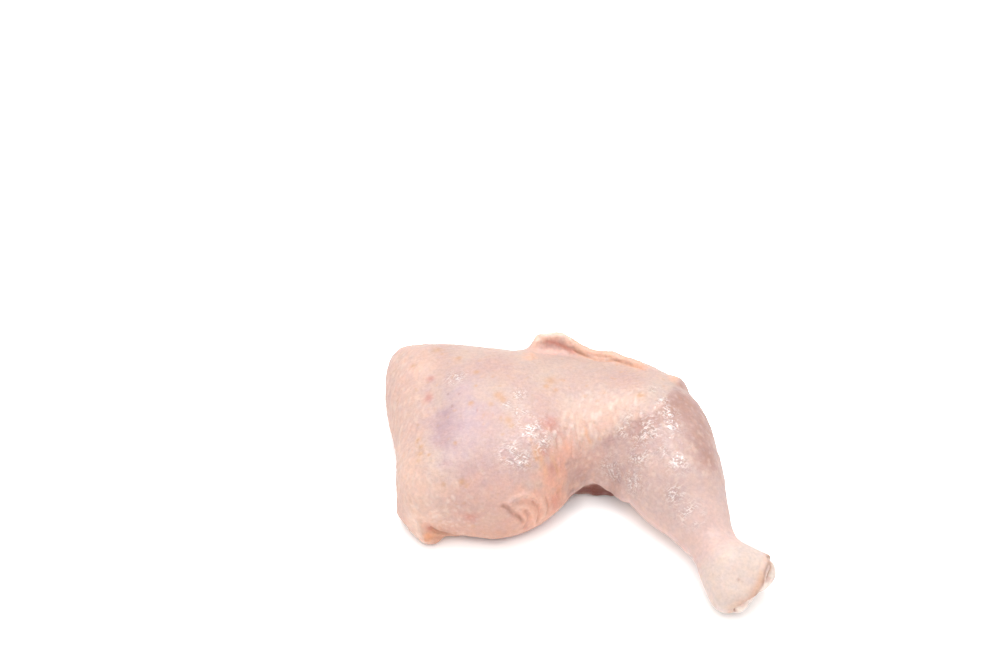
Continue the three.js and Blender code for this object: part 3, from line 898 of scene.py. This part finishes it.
paint_line(SALMON, 0.6, FLAP_SHADE_PX, 1.0)
print("mean tone after the corner and the flap:", mean_tone())

# %% Paint the whorl and the edges at the knee
WHORL_SALMON_PX = [(526, 528, 1.3), (555, 501, 3.2)]
KNEE_TIP_PX = [(673, 378, 2.4)]
KNEE_TIP_SHADE_PX = [(681, 386, 2.0)]

# Painted highlights: the whorl's crest and ridges are painted lighter pink where light catches them.
paint_line(CREST_HIGHLIGHT_PINK, 0.6, WHORL_CREST_PX, 0.7)
for ridge in WHORL_RIDGES_PX:
    paint_line(CREST_HIGHLIGHT_PINK, 0.35, ridge, 0.8)
# Painted shade: the dimple and the folds of the whorl are painted darker in their creases.
paint_line(CREASE_SHADE_BROWN, 0.8, DIMPLE_PX, 0.8)
for fold, depth in WHORL_FOLDS_PX:
    paint_line(CREASE_SHADE_BROWN, 0.75 * depth, fold, 0.6)
paint_dabs(SALMON, 0.5, WHORL_SALMON_PX)
# Painted shadow: an orange line in the crease under the rolled rim.
paint_line(FOLD_SHADE_ORANGE, 0.75, RIM_CREASE_PX, 0.6)
paint_dabs(ROLLED_RIM, 0.9, KNEE_TIP_PX)
paint_dabs(DEEP_MAUVE, 0.7, KNEE_TIP_SHADE_PX)
print("mean tone after the whorl:", mean_tone())

# %% Paint streaks, humps, the damp between puckers, the meat, and painted shade in the hollow
STRETCHED_PX = [
    (590, 408, 9), (575, 425, 7), (612, 410, 8), (596, 428, 7), (558, 432, 5), (635, 395, 6),
]
DAMP_DARKENING = 0.12

stretched = strongest(STRETCHED_PX)
paint(WHITE_FAT, 0.7 * fade(streaks + 0.3 * medium, -0.1, 0.9) * stretched * thigh)
dotted = (0.1 + 0.15 * drumstick * (1 - shank)) * fade(medium + 0.5 * broad, -0.6, 0.5)
paint(WHITE_FAT, 1.2 * follicle * dotted * (1 - underside))
tone *= (1 - DAMP_DARKENING * wet_patch)[:, None]
paint(RAW_MEAT, meat)
paint(DARK_MEAT, meat * fade(cloud(4, 7, FIBRES_ALONG, 4), 0.1, 0.9) * 0.7)
paint(SINEW, 0.8 * seam)
# Painted shade: the hollow's ceiling and far wall get dark shaded meat, darkest high up under the web.
paint(SHADED_MEAT, np.maximum(under_web * fade(place[:, 2], -2, 6), hollow_wall))
print("mean tone of the finished skin:", mean_tone())

# %% The paint and the water as attributes of the mesh
DAMP = 0.03
BETWEEN_CRESTS = 0.4


def store(piece, name, values):
    """Keeps a number or a linear colour for each point where the piece's material can read it."""
    kind, field = "FLOAT", "value"
    if values.ndim == 2:
        kind, field = "FLOAT_COLOR", "color"
        values = np.hstack([values, np.ones((len(values), 1))])
    piece.data.attributes.new(name, kind, "POINT")
    piece.data.attributes[name].data.foreach_set(field, values.astype(np.float32).ravel())


wetness = DAMP + (1 - DAMP) * wet_patch * (BETWEEN_CRESTS + (1 - BETWEEN_CRESTS) * crest)
wetness = np.maximum(wetness, np.maximum(meat, cut_face))
store(skin, "skin_tone", tone)
store(skin, "wetness", wetness)
store(skin, "puckering", wet_patch)
print("mean wetness:", round(float(wetness.mean()), 2))

# %% [markdown]
# ## Wet skin
# Skin is a little see-through, so light that goes in comes out again beside, redder: that is
# subsurface scattering. Over it lies a film of water, which is the shader's coat. Two noises, one
# for fine wrinkles and one for grain, roughen both as bump, because they are finer than the mesh.
# Two more change the colour: one lighter and darker, one warmer and cooler. Every noise has the
# size in mm of what it stands for. The water breaks up into short strokes, which a noise with
# sharp limits gives. On puckered skin thin pale dashes that cross each other are painted into the
# colour: partly the paler crests of the puckers, partly painted glints for light mirrored in the film.

# %% Raw chicken skin: soft reddish glow under a film of water with sharp glints
MOTTLE_SIZE = 1.3 * MM
HUE_SIZE = 3.2 * MM
WARM_TINT = "#FFFBF7"
COOL_TINT = "#F8F7FA"

wet_skin, tree = new_material("wet raw chicken skin")
coords = add_node(tree, "ShaderNodeTexCoord").outputs["Object"]
painted = add_node(tree, "ShaderNodeAttribute", attribute_name="skin_tone").outputs["Color"]
water = add_node(tree, "ShaderNodeAttribute", attribute_name="wetness").outputs["Fac"]
puckering = add_node(tree, "ShaderNodeAttribute", attribute_name="puckering").outputs["Fac"]
mottle_noise = add_node(
    tree, "ShaderNodeTexNoise",
    {"Vector": coords, "Scale": 1 / MOTTLE_SIZE, "Detail": 4.0, "Roughness": 0.65},
)
mottle = add_node(
    tree, "ShaderNodeMapRange",
    {
        "Value": mottle_noise.outputs["Fac"],
        "From Min": 0.3, "From Max": 0.7, "To Min": 0.92, "To Max": 1.08,
    },
)
hue_noise = add_node(
    tree, "ShaderNodeTexNoise", {"Vector": coords, "Scale": 1 / HUE_SIZE, "Detail": 3.0},
)
hue = add_node(
    tree, "ShaderNodeMapRange", {"Value": hue_noise.outputs["Fac"], "From Min": 0.35, "From Max": 0.65},
)
tint = add_node(
    tree, "ShaderNodeMix",
    {0: hue.outputs["Result"], 6: linear(WARM_TINT), 7: linear(COOL_TINT)}, data_type="RGBA",
)
tinted = add_node(
    tree, "ShaderNodeVectorMath", {0: painted, 1: tint.outputs[2]}, operation="MULTIPLY",
)
colour = add_node(
    tree, "ShaderNodeVectorMath",
    {0: tinted.outputs["Vector"], "Scale": mottle.outputs["Result"]}, operation="SCALE",
)

# %% The film of water, broken into strokes about half a millimetre wide
STROKE_SIZE = 1.2 * MM
STROKE_EDGE = (0.47, 0.54)

stroke_noise = add_node(
    tree, "ShaderNodeTexNoise",
    {"Vector": coords, "Scale": 1 / STROKE_SIZE, "Detail": 1.0, "Distortion": 2.5},
)
strokes = add_node(
    tree, "ShaderNodeMapRange",
    {
        "Value": stroke_noise.outputs["Fac"],
        "From Min": STROKE_EDGE[0], "From Max": STROKE_EDGE[1],
    },
)
film = add_node(
    tree, "ShaderNodeMath", {0: water, 1: strokes.outputs["Result"]}, operation="MULTIPLY",
)

# %% The crests of the puckered skin: thin pale dashes that cross each other, partly painted glints
DASH_SIZE = (2.4 * MM, 0.55 * MM, 0.55 * MM)
DASH_SLANTS = [(0.75, 0.45, 0.45), (0.9, -0.35, -0.3)]
DASH_EDGE = (0.56, 0.64)
PALE_CREST_AND_GLINT = "#F6F0EC"
CREST_AND_GLINT_PALENESS = 0.5

dashes = 0.0
for slant in DASH_SLANTS:
    turned = add_node(
        tree, "ShaderNodeMapping",
        {
            "Vector": coords,
            "Rotation": Vector(slant).to_track_quat("X", "Z").to_euler(),
            "Scale": DASH_SIZE,
        },
        vector_type="TEXTURE",
    )
    dash_noise = add_node(
        tree, "ShaderNodeTexNoise",
        {"Vector": turned.outputs["Vector"], "Scale": 1.0, "Detail": 1.0, "Distortion": 0.3},
    )
    dash = add_node(
        tree, "ShaderNodeMapRange",
        {
            "Value": dash_noise.outputs["Fac"],
            "From Min": DASH_EDGE[0], "From Max": DASH_EDGE[1], "To Max": CREST_AND_GLINT_PALENESS,
        },
    )
    dashes = add_node(
        tree, "ShaderNodeMath", {0: dashes, 1: dash.outputs["Result"]}, operation="MAXIMUM",
    ).outputs["Value"]
# Pale dashes in the colour: partly the paler crests of puckered skin, partly painted glints of the wet
# film.
crest_and_glint_share = add_node(tree, "ShaderNodeMath", {0: dashes, 1: puckering}, operation="MULTIPLY")
crests_and_painted_glints = add_node(
    tree, "ShaderNodeMix",
    {0: crest_and_glint_share.outputs["Value"], 6: colour.outputs["Vector"], 7: linear(PALE_CREST_AND_GLINT)},
    data_type="RGBA",
)

# %% Wrinkles and grain, and the shader that they all feed
WRINKLE_SIZE, WRINKLE_DEPTH = 1.5 * MM, 0.3 * MM
GRAIN_SIZE, GRAIN_DEPTH = 0.6 * MM, 0.06 * MM
LIGHT_DEPTH = 0.6 * MM

wrinkle_noise = add_node(
    tree, "ShaderNodeTexNoise",
    {"Vector": coords, "Scale": 1 / WRINKLE_SIZE, "Detail": 2.0, "Roughness": 0.5, "Distortion": 0.7},
)
wrinkles = add_node(
    tree, "ShaderNodeBump",
    {"Strength": 1.0, "Distance": WRINKLE_DEPTH, "Height": wrinkle_noise.outputs["Fac"]},
)
grain_noise = add_node(
    tree, "ShaderNodeTexNoise", {"Vector": coords, "Scale": 1 / GRAIN_SIZE, "Detail": 1.0},
)
grain = add_node(
    tree, "ShaderNodeBump",
    {
        "Strength": 1.0, "Distance": GRAIN_DEPTH, "Height": grain_noise.outputs["Fac"],
        "Normal": wrinkles.outputs["Normal"],
    },
)
shader = add_node(
    tree,
    "ShaderNodeBsdfPrincipled",
    {
        "Base Color": crests_and_painted_glints.outputs[2],
        "Roughness": 0.45,
        "IOR": 1.4,
        "Specular IOR Level": 0.1,
        "Subsurface Weight": 0.35,
        "Subsurface Scale": LIGHT_DEPTH,
        "Subsurface Radius": (1.0, 0.45, 0.3),
        "Coat Weight": film.outputs["Value"],
        "Coat Roughness": 0.05,
        "Coat IOR": 1.36,
        "Normal": grain.outputs["Normal"],
        "Coat Normal": grain.outputs["Normal"],
    },
)
add_node(tree, "ShaderNodeOutputMaterial", {"Surface": shader.outputs["BSDF"]})
print("nodes of the wet skin:", len(tree.nodes))

# %% The skin's place in the part
skin.data.materials.append(wet_skin)
only(skin)
bpy.ops.object.shade_smooth()
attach(skin, "root")
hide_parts("leg_quarter")
print("materials of the skin:", [material.name for material in skin.data.materials])

# %% [markdown]
# ## The end of the shin bone
# The foot was cut off in the joint, so the knobs at the end of the shin bone show: two rounded
# ends with a groove between them, capped in smooth gristle that is white with a pink bloom and
# reddish brown where the skin has dried against it; that brown is also painted shade, darkening
# the bone where it meets the skin. It is one CAD node. Its copy is remeshed more finely than the
# skin, swollen where the upper knob fills the cut, and painted by how near each point is to the
# skin.

# %% The bone's mesh
BONE_VOXEL = 0.6 * MM
OUTER_KNOB = (77.0, -46.0, 14.0)
UPPER_HALF = (7, 15)
SWELL_HEIGHT, SWELL_REACH = 2.8, 9
PUSH_OUT, PUSH_REACH = 1.3, 5
DENT_SIZE, DENT_DEPTH = 2.5, 0.35


def bone_noise(size):
    """Smooth noise for each point of the bone, from below 0 to above it, in blobs size mm wide."""
    return np.array([noise.noise(Vector(p) / size) for p in knob])


bone = workable_copy("shin_bone_end", "bone_end")
apply_modifier(bone, "REMESH", mode="VOXEL", voxel_size=BONE_VOXEL)
apply_modifier(bone, "SMOOTH", factor=0.5, iterations=8)
knob = read(bone.data.vertices, "co") / MM
swell = fade(knob[:, 2], *UPPER_HALF) * bell(knob[:, 1] - OUTER_KNOB[1], SWELL_REACH)
knob[:, 2] += SWELL_HEIGHT * swell
knob[:, 0] += PUSH_OUT * bell(np.linalg.norm(knob - OUTER_KNOB, axis=1), PUSH_REACH)
knob_normal = read(bone.data.vertex_normals, "vector")
knob += knob_normal * (DENT_DEPTH * bone_noise(DENT_SIZE))[:, None]
bone.data.vertices.foreach_set("co", (knob * MM).astype(np.float32).ravel())
bone.data.update()
print("bone triangles:", triangles(bone))

# %% The bone's colours
GRISTLE_WHITE = "#DBCABF"
GRISTLE_PINK = "#D2AEA2"
DRIED_RIM_AND_SHADE = "#A47C68"
BLOOM_SIZE = 3.5
DRIED_AND_SHADE_WIDTH = 0.9

finished_skin = BVHTree.FromObject(skin, bpy.context.evaluated_depsgraph_get())
from_skin = np.array([finished_skin.find_nearest(Vector(p) * MM)[3] / MM for p in knob])
bloom = fade(bone_noise(BLOOM_SIZE), -0.1, 0.4)
gristle_tone = np.tile(linear(GRISTLE_WHITE)[:3], (len(knob), 1))
gristle_tone = mixed(gristle_tone, GRISTLE_PINK, 0.8 * bloom)
# Near the skin the bone is reddish brown: partly dried gristle, partly painted shade where bone meets
# skin.
gristle_tone = mixed(gristle_tone, DRIED_RIM_AND_SHADE, 0.8 * bell(from_skin, DRIED_AND_SHADE_WIDTH))
store(bone, "gristle_tone", gristle_tone)
print("nearest bone to the skin, mm:", round(float(from_skin.min()), 2))

# %% Wet gristle: milky, faintly see-through, with a hard wet shine
PIT_SIZE, PIT_DEPTH = 1.2 * MM, 0.25 * MM
GRISTLE_LIGHT_DEPTH = 1.5 * MM

gristle, tree = new_material("wet gristle and bone")
coords = add_node(tree, "ShaderNodeTexCoord").outputs["Object"]
painted = add_node(tree, "ShaderNodeAttribute", attribute_name="gristle_tone").outputs["Color"]
pits_noise = add_node(
    tree, "ShaderNodeTexNoise", {"Vector": coords, "Scale": 1 / PIT_SIZE, "Detail": 3.0},
)
pits = add_node(
    tree, "ShaderNodeMapRange",
    {
        "Value": pits_noise.outputs["Fac"],
        "From Min": 0.3, "From Max": 0.7, "To Min": 0.88, "To Max": 1.08,
    },
)
colour = add_node(
    tree, "ShaderNodeVectorMath", {0: painted, "Scale": pits.outputs["Result"]}, operation="SCALE",
)
dimples = add_node(
    tree, "ShaderNodeBump",
    {"Strength": 1.0, "Distance": PIT_DEPTH, "Height": pits_noise.outputs["Fac"]},
)
shader = add_node(
    tree,
    "ShaderNodeBsdfPrincipled",
    {
        "Base Color": colour.outputs["Vector"],
        "Roughness": 0.4,
        "Specular IOR Level": 0.2,
        "Subsurface Weight": 0.35,
        "Subsurface Scale": GRISTLE_LIGHT_DEPTH,
        "Subsurface Radius": (1.0, 0.6, 0.5),
        "Coat Weight": 0.5,
        "Coat Roughness": 0.08,
        "Coat IOR": 1.36,
        "Normal": dimples.outputs["Normal"],
        "Coat Normal": dimples.outputs["Normal"],
    },
)
add_node(tree, "ShaderNodeOutputMaterial", {"Surface": shader.outputs["BSDF"]})
print("nodes of the gristle:", len(tree.nodes))

# %% The bone's place in the part
bone.data.materials.append(gristle)
only(bone)
bpy.ops.object.shade_smooth()
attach(bone, "root")
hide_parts("shin_bone_end")
print("materials of the bone:", [material.name for material in bone.data.materials])
